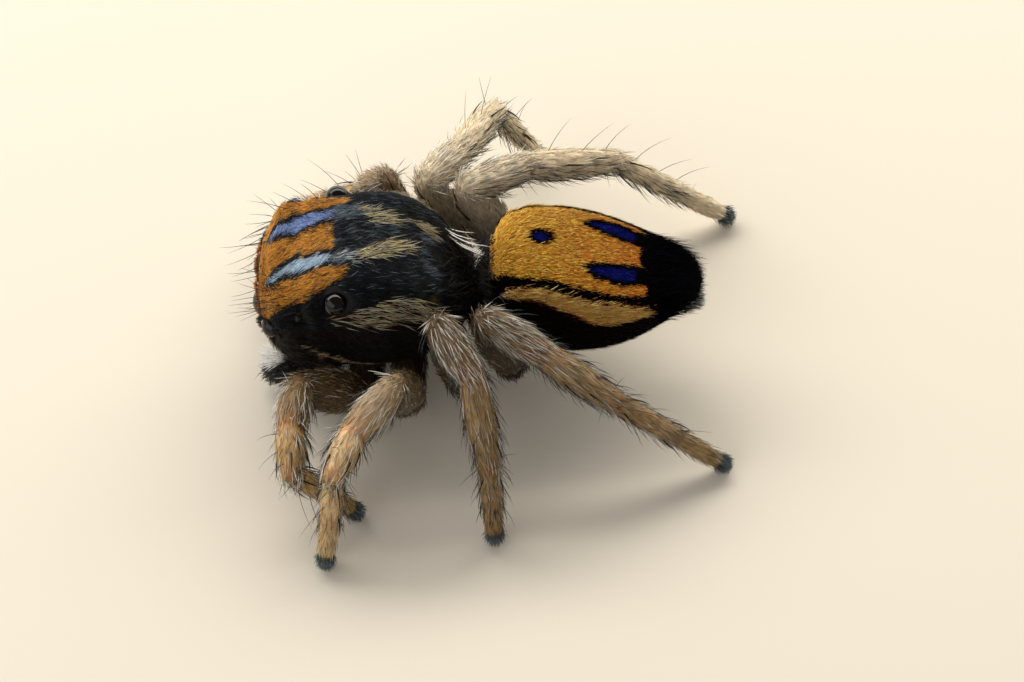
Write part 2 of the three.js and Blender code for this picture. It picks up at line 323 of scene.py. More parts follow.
class Roots:
    """Places on a surface, by their distance down its rows and round its columns."""

    def __init__(self, surface, down, round_, chart):
        self.surface, self.down, self.round, self.chart = surface, down, round_, chart
        self.place = self.read(surface.grid)
        self.normal = unit(self.read(surface.normals))
        along = self.read(surface.along)
        self.along = unit(along - self.normal * (along * self.normal).sum(axis=1, keepdims=True))
        self.aside = np.cross(self.normal, self.along)

    def __len__(self):
        return len(self.down)

    def read(self, field):
        """A field given on the surface's grid, between its four nearest points."""
        i, j = self.down.astype(int), self.round.astype(int)
        f, g = self.down - i, self.round - j
        if field.ndim == 3:
            f, g = f[:, None], g[:, None]
        nxt = (j + 1) % field.shape[1]
        near = field[i, j] * (1 - g) + field[i, nxt] * g
        far = field[i + 1, j] * (1 - g) + field[i + 1, nxt] * g
        return near * (1 - f) + far * f

    def only(self, keep):
        """The roots for which keep is true."""
        return Roots(self.surface, self.down[keep], self.round[keep], self.chart[keep])

    def up_swing(self):
        """Plus or minus one: the sign of a swing that turns a hair up the flank."""
        return np.sign(self.aside[:, 2])

    def way(self, swing, lift):
        """The way a hair leaves each root, swung aside and lifted from the skin, and its upper side."""
        over = self.along * np.cos(swing)[:, None] + self.aside * np.sin(swing)[:, None]
        rise, flat = np.sin(lift)[:, None], np.cos(lift)[:, None]
        return over * flat + self.normal * rise, self.normal * flat - over * rise


# ---- Hairs and scales ----
# A profile gives, for each ring of corners, its share of the length and of the width.
SCALE = np.array([[0.4, 1.0]])
HAIR = np.array([[0.15, 0.9], [0.6, 0.8]])
BRISTLE = np.array([[0.03, 1.0], [0.22, 0.95], [0.45, 0.8], [0.68, 0.6], [0.87, 0.35]])
PATCH = 0.003  # of the baking map, for one strand
FLOOR_GAP = 0.004  # no strand reaches lower


def strands(place, way, up, length, width, tints, chart, profile=HAIR, flat=1.0, droop=0.0, curl=0.0,
            sides=3):
    """Closed spindles, from a point at the root to a point at the tip, with rings of corners between.

    At a share t of its length, a strand has sagged by droop t² and curled aside by curl t² of that length.
    A ring has the profile's share of the width across, and flat times that in height. The tints are those at
    the root and at the tip. Each strand is a small patch of the chart at its root.
    """
    count = len(place)
    aside = np.cross(way, up)
    length, width = np.broadcast_to(length, count), np.broadcast_to(width, count)
    droop, curl = np.broadcast_to(droop, count), np.broadcast_to(curl, count)
    t = np.concatenate([[0], np.repeat(profile[:, 0], sides), [1]])
    share = np.concatenate([[0], np.repeat(profile[:, 1], sides), [0]]) / 2
    turns = np.concatenate([[0], np.tile(np.arange(sides) / sides, len(profile)), [0]])
    angle = turns * 2 * math.pi + math.pi / 2
    bend = (t**2)[None] * length[:, None]
    wide = share * np.cos(angle) * width[:, None] + bend * curl[:, None]
    high = share * np.sin(angle) * flat * width[:, None] - bend * droop[:, None]
    ahead = t[None] * length[:, None]
    points = place[:, None] + ahead[..., None] * way[:, None] + wide[..., None] * aside[:, None]
    points += high[..., None] * up[:, None]
    points[..., 2] = np.maximum(points[..., 2], FLOOR_GAP)

    ring = np.arange(sides)
    onward = (ring + 1) % sides
    last = 1 + sides * len(profile)
    faces = [np.stack([np.zeros(sides, int), 1 + ring, 1 + onward], axis=1)]
    for k in range(1, last - sides, sides):
        a, b, c, d = k + ring, k + onward, k + sides + onward, k + sides + ring
        faces += [np.stack([a, c, b], axis=1), np.stack([a, d, c], axis=1)]
    faces.append(np.stack([last - sides + onward, last - sides + ring, np.full(sides, last)], axis=1))
    faces = np.concatenate(faces)
    size = last + 1
    all_faces = (np.arange(count) * size)[:, None, None] + faces[None]

    root_tint, tip_tint = tints
    tint = root_tint[:, None] * (1 - t)[None, :, None] + tip_tint[:, None] * t[None, :, None]
    u = np.concatenate([[0.5], np.tile(np.arange(sides) / (sides - 1), len(profile)), [0.5]])
    v = t + 0.15 * np.concatenate([[0], np.tile(ring % 2, len(profile)), [0]])
    spread = np.stack([u - 0.5, v - 0.5], axis=1) * PATCH
    inside = PATCH + chart * (1 - 2 * PATCH)
    return {
        "points": points.reshape(-1, 3),
        "faces": all_faces.reshape(-1, 3),
        "tint": tint.reshape(-1, 3),
        "chart": (inside[:, None] + spread[None]).reshape(-1, 2),
    }


def joined(meshes):
    """Several meshes as one."""
    start = np.cumsum([0] + [len(m["points"]) for m in meshes[:-1]])
    together = {key: np.concatenate([m[key] for m in meshes]) for key in meshes[0] if key != "faces"}
    together["faces"] = np.concatenate([m["faces"] + s for m, s in zip(meshes, start)])
    return together


# ---- Markings ----
def linear(hex_colour):
    """An sRGB hex colour as linear red, green and blue."""
    value = np.array([int(hex_colour[i : i + 2], 16) / 255 for i in (1, 3, 5)])
    return np.where(value <= 0.04045, value / 12.92, ((value + 0.055) / 1.055) ** 2.4)


def curve(*points):
    """The points of an edge as rows: places along X, then what is given there."""
    return np.array(points).T


def within(x, g, inner, outer):
    """True where g lies between two edges at x."""
    return (g > np.interp(x, *inner)) & (g < np.interp(x, *outer))


def hill(x, s, middle, half):
    """A smooth hill of height one over the skin: its middle and half its size, along X and round the back."""
    return np.exp(-(((x - middle[0]) / half[0]) ** 2) - ((s - middle[1]) / half[1]) ** 2)


# Edges on the carapace, in its level frame: X, and the distance from the midline over the back.
BROW = -2.07  # in front of it, the orange stripes meet
MEDIAN_EDGE = curve((-2.1, 0.24), (-1.97, 0.175), (-1.7, 0.15), (-1.45, 0.197), (-1.2, 0.205))
MEDIAN_END = -1.23
BLUE_INNER = curve((-2.06, 0.235), (-1.95, 0.225), (-1.69, 0.21), (-1.45, 0.24), (-1.2, 0.265))
BLUE_OUTER = curve((-2.06, 0.245), (-1.9, 0.345), (-1.7, 0.405), (-1.5, 0.4), (-1.25, 0.375), (-1.1, 0.34))
BLUE_END = -1.24
LATERAL_INNER = curve((-2.08, 0.26), (-1.96, 0.385), (-1.7, 0.465), (-1.5, 0.435), (-1.27, 0.42),
                      (-1.06, 0.437))
LATERAL_OUTER = curve((-2.13, 0.62), (-1.96, 0.725), (-1.6, 0.75), (-1.34, 0.66), (-1.16, 0.58),
                      (-1.04, 0.45))
LATERAL_END = -1.05
FLANK_INNER = curve((-1.42, 1.06), (-1.17, 1.01), (-0.88, 0.92), (-0.72, 0.85), (-0.5, 0.78), (-0.37, 0.74))
FLANK_OUTER = curve((-1.42, 1.13), (-1.185, 1.25), (-0.94, 1.28), (-0.69, 1.22), (-0.5, 1.14), (-0.2, 1.1))
FLANK_ENDS = (-1.42, -0.22)
SIDE_EDGE = curve((-1.9, 1.0), (-1.45, 1.22), (-1.1, 1.2), (-0.5, 1.15), (-0.2, 1.1))
RIM = curve((-1.8, 1.36), (-1.6, 1.62), (-1.4, 1.83), (-1.2, 1.96), (-0.9, 2.05))
# Streaks on the back: X, their middle with the right side positive, and half their width.
STREAKS = (
    curve((-1.3, -0.315, 0.03), (-1.12, -0.335, 0.045), (-0.98, -0.34, 0.06), (-0.77, -0.285, 0.09),
          (-0.65, -0.226, 0.11), (-0.5, -0.17, 0.08), (-0.38, -0.18, 0.01)),
    curve((-1.06, 0.37, 0.02), (-0.9, 0.25, 0.07), (-0.77, 0.2, 0.1), (-0.64, 0.2, 0.1), (-0.5, 0.17, 0.02)),
    curve((-0.47, 0.24, 0.01), (-0.34, 0.205, 0.05), (-0.24, 0.18, 0.085), (-0.15, 0.12, 0.05)),
)
# Hazes of grey-blue hairs among the black, partly a painted sheen of the black coat: middle, half size, and
# the share of the hairs.
SHEEN_HAZES = (
    ((-1.1, 0.3), (0.17, 0.1), 0.95),
    ((-0.93, 0.24), (0.17, 0.13), 0.5),
    ((-1.16, -0.32), (0.12, 0.07), 0.9),
    ((-0.7, 0.0), (0.5, 0.3), 0.16),
    ((-0.55, 0.55), (0.4, 0.3), 0.1),
    ((-0.6, -0.55), (0.5, 0.25), 0.05),
    ((-0.22, -0.37), (0.06, 0.08), 0.75),
    ((-0.3, -0.24), (0.09, 0.1), 0.35),
    ((-0.25, 0.02), (0.07, 0.09), 0.5),
)

# Edges on the abdomen: X, and the distance over the back from the pattern's middle.
PATTERN_MIDDLE = 0.03  # the spots and the band lie this far to the right
PLATE_FRONT, PLATE_FOOT = 0.215, 1.42  # the plate's front edge, and its height there
PLATE_LEFT = curve((0.2, -0.2), (0.3, -0.33), (0.45, -0.43), (0.67, -0.48), (0.9, -0.495), (1.12, -0.55),
                   (1.6, -0.552), (1.89, -0.475), (1.96, -0.38), (2.06, -0.35))
PLATE_RIGHT = curve((0.2, 0.2), (0.3, 0.37), (0.4, 0.49), (0.6, 0.565), (0.8, 0.615), (1.2, 0.615),
                    (1.4, 0.61), (1.6, 0.57), (1.8, 0.52), (1.9, 0.46), (1.96, 0.4), (2.06, 0.35))
PLATE_REAR = curve((0, 1.84), (0.1, 1.85), (0.15, 1.92), (0.5, 1.92), (0.7, 1.9))
SPOT_INNER = curve((1.19, 0.285), (1.33, 0.24), (1.5, 0.195), (1.66, 0.163), (1.95, 0.145))
SPOT_OUTER = curve((1.19, 0.285), (1.27, 0.385), (1.4, 0.425), (1.55, 0.44), (1.7, 0.415), (1.94, 0.34))
SPOT_RING = 0.04  # the black edge of a blue spot
SPOT_END = 1.8
FRONT_SPOT = ((0.735, 0.056), (0.14, 0.1))
BAND_INNER = curve((0.3, 0.56), (0.77, 0.64), (1.1, 0.71), (1.5, 0.705), (1.95, 0.63))
BAND_OUTER = curve((0.3, 0.58), (0.39, 0.68), (0.72, 0.765), (1.0, 0.865), (1.28, 0.97), (1.46, 0.99),
                   (1.88, 0.75), (2.05, 0.62))
BAND_ENDS = (0.31, 2.0)

# A zone of the coat: colours at a strand's root and tip, how far its tone varies, then the strand's
# length and width, its lift from the skin in degrees, and a weight for how many stand there.
ZONES = {
    "black": ("#030405", "#1c2026", 0.65, 0.15, 0.01, 6, 0.9),
    "orange": ("#8a470c", "#eda340", 0.34, 0.085, 0.013, 9, 1.05),
    # The two blue stripes are one kind of scale: the left one is painted paler, a painted sheen of their
    # iridescence, and the right one keeps the deeper blue.
    "blue_left_painted_sheen": ("#6488ac", "#c6dae8", 0.25, 0.085, 0.013, 9, 1.0),
    "blue_right": ("#465ea0", "#9fb6e6", 0.25, 0.085, 0.013, 9, 1.0),
    "sheen_haze": ("#2a313b", "#74828f", 0.35, 0.15, 0.01, 9, 0.8),
    "cream": ("#604622", "#f2deaa", 0.4, 0.19, 0.011, 13, 0.8),
    "pale": ("#4c5156", "#d8dcda", 0.3, 0.16, 0.011, 12, 0.8),
    "flank": ("#4c3212", "#ffe6b8", 0.4, 0.25, 0.012, 15, 0.55),
    "side": ("#040203", "#1a0e09", 0.5, 0.1, 0.009, 12, 0.3),
    "rim": ("#5a4228", "#d8bc90", 0.3, 0.1, 0.01, 14, 1.6),
    "olive": ("#262009", "#665a28", 0.3, 0.08, 0.013, 9, 0.8),
    "face": ("#8b7048", "#efe3c6", 0.25, 0.12, 0.011, 28, 0.9),
    # The gold's roots are darker than its tips partly as painted shade: they darken the gaps between the
    # scales.
    "gold": ("#853f03", "#ffa82e", 0.62, 0.085, 0.014, 14, 1.5),
    # Painted glints: pale yellow scales among the gold, coloured as if they caught the light.
    "painted_glint": ("#b86c14", "#ffd468", 0.3, 0.09, 0.012, 20, 1.5),
    "ember": ("#923406", "#fb8c2c", 0.45, 0.08, 0.014, 15, 1.4),
    "spot": ("#020316", "#141d7c", 0.5, 0.07, 0.013, 14, 1.4),
    "velvet": ("#000001", "#040309", 0.4, 0.09, 0.012, 22, 1.15),
    "band": ("#b46018", "#ffc470", 0.5, 0.15, 0.012, 13, 1.1),
    "belly": ("#040202", "#170e09", 0.5, 0.12, 0.01, 24, 0.5),
}
ZONE = {name: code for code, name in enumerate(ZONES)}
ZONE_ROOT = np.array([linear(z[0]) for z in ZONES.values()])
ZONE_TIP = np.array([linear(z[1]) for z in ZONES.values()])
ZONE_NUMBERS = np.array([z[2:] for z in ZONES.values()])


class Painter:
    """Zones laid over each other, with two numbers between 0 and 1 for each point, which mix them."""

    def __init__(self, count, chance, first):
        self.zone = np.full(count, ZONE[first])
        self.chance, self.other = chance, chance * 97 % 1

    def paint(self, where, name):
        """Lays a zone over the others where the mask is true."""
        self.zone[where] = ZONE[name]


def carapace_zones(points, g, chance):
    """The zone at each point of the front body, from its level place and its girth."""
    x, y, z = levelled(points).T
    side = np.sign(y)
    s = side * g
    p = Painter(len(x), chance, "black")
    p.paint((g > np.interp(x, *SIDE_EDGE)) | (z < 0.5), "side")
    p.paint((abs(g - np.interp(x, *RIM)) < 0.02) & (x > -1.8) & (x < -0.9), "rim")
    # Grey-blue hairs among the black: partly a painted sheen of the coat.
    sheen_haze = np.max([share * hill(x, s, middle, half) for middle, half, share in SHEEN_HAZES], axis=0)
    p.paint(chance < sheen_haze, "sheen_haze")
    flank = within(x, g, FLANK_INNER, FLANK_OUTER) & (x > FLANK_ENDS[0]) & (x < FLANK_ENDS[1])
    p.paint(flank & (chance < np.interp(x, (-1.35, -0.95), (0.05, 0.13))), "flank")
    p.paint((x > -0.28) & (x < -0.13) & (g > 0.72) & (g < 0.86), "olive")
    for streak in STREAKS:
        middle, half = np.interp(x, streak[0], streak[1]), np.interp(x, streak[0], streak[2])
        reach = half * (0.45 + 0.8 * chance)
        there = (abs(s - middle) < reach) & (x > streak[0, 0]) & (x < streak[0, -1]) & (p.other < 0.3)
        p.paint(there, "cream")
        p.paint(there & ((x < -0.98) | (x > -0.2) | (p.other > 0.27)), "pale")
    solid = p.other > 0.05
    p.paint((x < MEDIAN_END) & (g < np.interp(x, *MEDIAN_EDGE)) & solid, "orange")
    p.paint((x < LATERAL_END) & within(x, g, LATERAL_INNER, LATERAL_OUTER) & solid, "orange")
    stripe = (x < BLUE_END + 0.1 * (chance - 0.5)) & within(x, g, BLUE_INNER, BLUE_OUTER)
    # The left stripe is painted paler as a painted sheen; the right one keeps the deeper blue.
    p.paint(stripe & (side < 0), "blue_left_painted_sheen")
    p.paint(stripe & (side > 0), "blue_right")
    p.paint((x < BROW) & (z > 0.84) & (g < 0.66) & solid, "orange")
    p.paint((x < -2.1) & (z < 0.46), "face")
    return p.zone


def abdomen_zones(points, g, chance):
    """The zone at each point of the abdomen, from its place and its girth."""
    x, y, z = points.T
    s = np.sign(y) * g
    g = abs(s - PATTERN_MIDDLE)
    p = Painter(len(x), chance, "velvet")
    p.paint(g > np.interp(x, *BAND_OUTER), "belly")
    plate = within(x, s, PLATE_LEFT, PLATE_RIGHT) & (x < np.interp(g, *PLATE_REAR))
    plate &= (x > PLATE_FRONT) & (z > PLATE_FOOT)
    p.paint(plate, "gold")
    # Painted glints scattered over the plate.
    p.paint(plate & (p.other < 0.2), "painted_glint")
    p.paint(plate & (chance < np.interp(x, (0.6, 1.1, 1.6, 1.9), (0.05, 0.35, 0.6, 0.9))), "ember")
    middle, half = FRONT_SPOT
    away = ((x - middle[0]) / half[0]) ** 2 + ((s - middle[1]) / half[1]) ** 2
    p.paint(away < 1, "velvet")
    p.paint(away < 0.45, "spot")
    inner, outer = np.interp(x, *SPOT_INNER), np.interp(x, *SPOT_OUTER)
    p.paint((g > inner) & (g < outer) & (x > SPOT_INNER[0, 0]) & (x < 1.95), "velvet")
    core = (g > inner + SPOT_RING) & (g < outer - SPOT_RING)
    p.paint(core & (x > SPOT_INNER[0, 0] + SPOT_RING) & (x < SPOT_END), "spot")
    band = within(x, g, BAND_INNER, BAND_OUTER) & (x > BAND_ENDS[0]) & (x < BAND_ENDS[1])
    p.paint((x > 2.02) & (z > 1.12), "velvet")
    p.paint(band, "band")
    p.paint(band & (x < 0.34), "pale")
    seam = abs(g - np.interp(x, *BAND_INNER) + 0.03) < 0.014
    p.paint(seam & (x > 1.5) & (x < 1.93), "ember")
    return p.zone


# ---- The body ----
BELLY_POWER = 2.2
PROSOMA_MARGIN = 0.2  # where the carapace is widest, in its level frame
ABDOMEN_MARGIN = 1.22
COAT_DEPTH = 0.03  # of the scales on the body, by which the skin lies inside the solids


def tips(points):
    """The foremost and the rearmost of a body's corners."""
    return points[points[:, 0].argmin()], points[points[:, 0].argmax()]


EYE_ROWS = ("anterior_median", "anterior_lateral", "posterior_median", "posterior_lateral")
EYES = {f"eye_{row}_{side}": ball_of(f"eye_{row}_{side}") for row in EYE_ROWS for side in SIDES}
SOCKET_CUT = 0.03  # how far a socket's corners lie outside its eye

carapace_corners = corners("cephalothorax")
for centre, radius in EYES.values():
    clear = np.linalg.norm(carapace_corners - centre, axis=1) > radius + SOCKET_CUT
    carapace_corners = carapace_corners[clear]
front_body = levelled(carapace_corners)
prosoma = lofted(
    measured_sections(front_body, PROSOMA_MARGIN),
    PROSOMA_MARGIN,
    BELLY_POWER,
    tips(front_body),
    into_model=leaned,
).inset(COAT_DEPTH)
rear_body = corners("abdomen")
abdomen = lofted(
    measured_sections(rear_body, ABDOMEN_MARGIN),
    ABDOMEN_MARGIN,
    BELLY_POWER,
    tips(rear_body),
).inset(COAT_DEPTH)

# ---- Limbs, waist, jaws and feelers ----
# Radii along each segment, then its depth and width.
SEGMENTS = {
    "coxa": ((0.17, 0.19, 0.16), 1.0, 1.0),
    "femur": ((0.13, 0.19, 0.225, 0.22, 0.18, 0.145), 1.08, 0.88),
    "patella": ((0.145, 0.18, 0.18, 0.145), 1.0, 1.0),
    "tibia": ((0.135, 0.165, 0.165, 0.15, 0.125), 1.0, 1.0),
    "metatarsus": ((0.11, 0.12, 0.115, 0.105), 1.0, 1.0),
    "tarsus": ((0.1, 0.105, 0.1, 0.08), 1.0, 1.0),
}
METATARSUS_SHARE = 0.58  # of the length from ankle to toe


def leg_surfaces(side, number):
    """The six segments of a leg between the joints found in the frame, and the joints."""
    names = [f"leg_{side}_{number}_{part}" for part in ("coxa", "femur", "patella", "tibia", "foot")]
    hip, knee, shin, ankle = (meeting(a, b) for a, b in zip(names, names[1:]))
    inner = far_end(names[0], hip)
    foot = corners(names[4])
    toe = foot[foot[:, 2] < 0.004].mean(axis=0) + [0, 0, SOLE_HEIGHT]
    split = ankle + METATARSUS_SHARE * (toe - ankle)
    joints = [inner - 0.5 * (hip - inner), hip, knee, shin, ankle, split, toe]
    across = unit(np.cross(knee - hip, ankle - knee))
    surfaces = {
        part: limb(a, b, radii, across, depth, width)
        for (part, (radii, depth, width)), a, b in zip(SEGMENTS.items(), joints, joints[1:])
    }
    return surfaces, joints


SIDEWAYS = np.array([0.0, 1.0, 0.0])
LEGS, JOINTS, JAWS, PALPS = {}, {}, {}, {}
for side in SIDES:
    for number in range(1, 5):
        LEGS[side, number], JOINTS[side, number] = leg_surfaces(side, number)
    jaw = corners(f"chelicera_{side}")
    jaw_tip = jaw[jaw[:, 2] < jaw[:, 2].min() + 0.08].mean(axis=0)
    jaw_top = jaw.mean(axis=0) + (jaw.mean(axis=0) - jaw_tip) * 1.1
    JAWS[side] = limb(jaw_top, jaw_tip, (0.16, 0.175, 0.16, 0.11), SIDEWAYS)
    bend = meeting(f"palp_{side}_arm", f"palp_{side}_tip")
    palp_root, palp_end = far_end(f"palp_{side}_arm", bend), far_end(f"palp_{side}_tip", bend)
    PALPS[side] = [
        limb(palp_root, bend, (0.11, 0.12, 0.12), SIDEWAYS),
        limb(bend, palp_end, (0.11, 0.14, 0.13, 0.08), SIDEWAYS),
    ]
waist_middle = corners("pedicel").mean(axis=0)
pedicel = limb(waist_middle - [0.3, 0, 0], waist_middle + [0.3, 0, 0], (0.14, 0.12, 0.14), SIDEWAYS)
spinneret_middle = corners("spinnerets").mean(axis=0) + [-0.07, 0, -0.07]
SPINNERETS = [
    limb(
        spinneret_middle + [-0.12, 0.05 * across, 0.05 * up],
        spinneret_middle + [0.1, 0.06 * across, 0.055 * up],
        (0.06, 0.06, 0.04),
        SIDEWAYS,
    )
    for across in (-1, 1)
    for up in (-1, 1)
]

# ---- The skin: one closed surface over all the flesh ----
VOXEL = 0.03
# Colours of the cuticle along each segment.
CUTICLE = {
    "coxa": ((0, "#241810"), (1, "#463420")),
    "femur": ((0, "#271d13"), (0.5, "#4b3b25"), (0.85, "#5c472a"), (1, "#6e5031")),
    "patella": ((0, "#6f5638"), (0.55, "#7d6140"), (0.85, "#986a3a"), (1, "#a87038")),
    "tibia": ((0, "#a8703a"), (0.25, "#a38252"), (0.85, "#a18253"), (1, "#986b3f")),
    "metatarsus": ((0, "#946033"), (0.15, "#a58452"), (0.8, "#9c7a4a"), (1, "#86623c")),
    "tarsus": ((0, "#8f6a3c"), (0.3, "#a1804c"), (0.85, "#8a6f42"), (1, "#3a3a36")),
}
# Spines of a segment: the share of its length, and the turn round it from the inner bend.
SPINES = {
    "femur": ((0.45, 0.5), (0.7, 0.42), (0.72, 0.58), (0.9, 0.5)),
    "tibia": ((0.2, 0.1), (0.2, 0.9), (0.5, 0.08), (0.5, 0.92), (0.85, 0.1), (0.85, 0.9), (0.4, 0.3),
              (0.4, 0.7), (0.7, 0.36), (0.7, 0.64)),
    "metatarsus": ((0.1, 0.1), (0.1, 0.9), (0.5, 0.1), (0.5, 0.9), (0.15, 0.36), (0.15, 0.64), (0.85, 0.25),
                   (0.85, 0.75)),
}
SOCKET_SPOT = 0.035  # reach of the dark spot round a spine's root
# Of each leg's colours: a tone, and the share of a pale cream mixed in. The hindmost on the right are palest.
# The tone is partly painted light and shade: the right, far legs are brightened as if lit more, and the two
# hind legs on the left are darkened as if in shade.
LEG_LIGHT_AND_CREAM = {
    "left": ((1.36, 0.05), (1.7, 0.2), (0.68, 0.03), (0.84, 0.06)),
    "right": ((1.4, 0.15), (1.4, 0.15), (1.5, 0.78), (1.5, 0.78)),
}
PALE_CREAM = "#e4d5b8"
# What the segments near the body take of these: a share of the tone, and of the cream.
LOOK_SHARES = {"coxa": (0.6, 0.0), "femur": (0.86, 0.75)}
SOCKET_BROWN, SOCKET_SHARE = "#3a1c0c", 0.8


def even(surface, colour):
    """One tint for a whole surface."""
    return np.broadcast_to(linear(colour), surface.grid.shape)


def look_of(side, number, part):
    """The tone, partly painted light and shade, and the share of cream of one segment of a leg."""
    return np.array(LEG_LIGHT_AND_CREAM[side][number - 1]) * LOOK_SHARES.get(part, (1, 1))


def looked(colours, look):
    """Colours with a leg's tone, partly painted light and shade, and its share of cream."""
    tone, pale = look
    return colours * tone * (1 - pale) + linear(PALE_CREAM) * pale


def banded(surface, stops, look):
    """Tints along a limb, through the colours given at shares of its length."""
    rows, columns = surface.grid.shape[:2]
    share = np.clip((np.arange(rows) - LIMB_CAP_ROWS) / (LIMB_ROWS - 1), 0, 1)
    colours = np.array([linear(colour) for _, colour in stops])
    tint = [np.interp(share, [at for at, _ in stops], colours[:, k]) for k in range(3)]
    return np.repeat(looked(np.stack(tint, axis=1), look)[:, None], columns, axis=1)


def socketed(surface, tint, places):
    """Tints with a dark brown spot at each spine's root: hills round the places given as share and turn."""
    rows, columns = surface.grid.shape[:2]
    for share, turn in places:
        root = surface.grid[int(LIMB_CAP_ROWS + share * (LIMB_ROWS - 1)), int(turn * columns) % columns]
        spot = np.exp(-((surface.grid - root) ** 2).sum(axis=2) / SOCKET_SPOT**2)[..., None]
        tint = tint * (1 - SOCKET_SHARE * spot) + linear(SOCKET_BROWN) * SOCKET_SHARE * spot
    return tint


def tinted(surface, tint):
    """A surface as a mesh with a tint at each of its points."""
    points, faces = surface.triangles()
    poles = [tint[0].mean(axis=0), tint[-1].mean(axis=0)]
    return {"points": points, "faces": faces, "tint": np.vstack([tint.reshape(-1, 3), poles])}


def ring_mesh(grid, tint):
    """A grid closed both ways as a mesh of one tint."""
    rows, columns = grid.shape[:2]
    index = np.arange(rows * columns).reshape(rows, columns)
    down, onward = np.roll(index, -1, axis=0), np.roll(index, -1, axis=1)
    both = np.roll(down, -1, axis=1)
    faces = np.stack([index, down, both, index, both, onward], axis=-1).reshape(-1, 3)
    return {"points": grid.reshape(-1, 3), "faces": faces, "tint": np.tile(tint, (rows * columns, 1))}


def zones_over(surface, girths, zones_at):
    """The zones at the points of a surface's grid."""
    flat = surface.grid.reshape(-1, 3)
    return zones_at(flat, girths.ravel(), np.full(len(flat), 0.5)).reshape(girths.shape)


prosoma_girth, abdomen_girth = girth(prosoma), girth(abdomen)
prosoma_zone = zones_over(prosoma, prosoma_girth, carapace_zones)
abdomen_zone = zones_over(abdomen, abdomen_girth, abdomen_zones)
SKIN_SHARE = 0.08  # of a strand's tip colour in the skin under it
zone_skin = ZONE_ROOT * (1 - SKIN_SHARE) + ZONE_TIP * SKIN_SHARE

# How far each lens sits from the middle of its node's ball, forward, outward and upward in the level frame,
# and its share of the ball's size.
LENSES = {
    "anterior_median": ((0.06, 0.0, 0.0), 0.95),
    "anterior_lateral": ((0.035, -0.02, 0.0), 0.92),
    "posterior_median": ((0.0, -0.01, 0.0), 0.95),
    "posterior_lateral": ((0.03, -0.035, 0.0), 0.98),
}
SEATS = {}
for name, (centre, radius) in EYES.items():
    _, *row, side = name.split("_")
    (forward, outward, upward), size = LENSES["_".join(row)]
    centre = centre + np.array([forward, outward * SIDES[side], upward]) @ LEAN
    radius = radius * size
    away = prosoma.grid - centre
    nearest = np.unravel_index((away**2).sum(axis=2).argmin(), away.shape[:2])
    axis = prosoma.normals[nearest]
    height = float(np.clip(away[nearest] @ axis, -0.6 * radius, 0.8 * radius))
    SEATS[name] = centre, radius, axis, height

flesh = [
    tinted(prosoma, zone_skin[prosoma_zone]),
    tinted(abdomen, zone_skin[abdomen_zone]),
    tinted(pedicel, even(pedicel, "#100c0a")),
]
for spinneret in SPINNERETS:
    flesh.append(tinted(spinneret, even(spinneret, "#57504a")))
for side in SIDES:
    flesh.append(tinted(JAWS[side], even(JAWS[side], "#24140e")))
    flesh += [tinted(part, even(part, "#14100d")) for part in PALPS[side]]
for (side, number), leg in LEGS.items():
    for part, surface in leg.items():
        tint = banded(surface, CUTICLE[part], look_of(side, number, part))
        flesh.append(tinted(surface, socketed(surface, tint, SPINES.get(part, ()))))
for name, (centre, radius, axis, height) in SEATS.items():
    tube = 0.014 + 0.045 * radius
    rim = math.sqrt(radius**2 - height**2)
    flesh.append(ring_mesh(collar(centre + axis * (height - 0.3 * tube), rim, tube, axis), linear("#050404")))


# ---- Meshes ----
def mesh_data(name, mesh, scale=MM, origin=ORIGIN):
    """A Blender mesh of triangles, smooth, with its tints and, where it has one, its baking map."""
    data = bpy.data.meshes.new(name)
    points, faces = (mesh["points"] + origin) * scale, mesh["faces"]
    data.vertices.add(len(points))
    data.vertices.foreach_set("co", points.astype(np.float32).ravel())
    data.loops.add(faces.size)
    data.loops.foreach_set("vertex_index", faces.astype(np.int32).ravel())
    data.polygons.add(len(faces))
    data.polygons.foreach_set("loop_start", np.arange(0, faces.size, 3, dtype=np.int32))
    data.polygons.foreach_set("use_smooth", np.ones(len(faces), bool))
    data.update(calc_edges=True)
    tint = data.color_attributes.new("Tint", "FLOAT_COLOR", "POINT")
    rgba = np.ones((len(points), 4), np.float32)
    rgba[:, :3] = mesh["tint"]
    tint.data.foreach_set("color", rgba.ravel())
    if "chart" in mesh:
        layer = data.uv_layers.new(name="OFBake")
        layer.data.foreach_set("uv", mesh["chart"][faces.ravel()].astype(np.float32).ravel())
    return data


def piece(name, data, material, slot, *replaced):
    """A mesh as an object of the scene, which rides on the part and may stand for nodes of it."""
    made = bpy.data.objects.new(name, data)
    bpy.context.scene.collection.objects.link(made)
    data.materials.append(material)
    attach(made, "root")
    if replaced:
        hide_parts(*replaced)
    return made


def evaluated(made):
    """An object's mesh with its modifiers applied, in place of the object."""
    data = bpy.data.meshes.new_from_object(made.evaluated_get(bpy.context.evaluated_depsgraph_get()))
    bpy.data.objects.remove(made)
    return data


def shown(name, data):
    """A new object of the scene."""
    made = bpy.data.objects.new(name, data)
    bpy.context.scene.collection.objects.link(made)
    return made


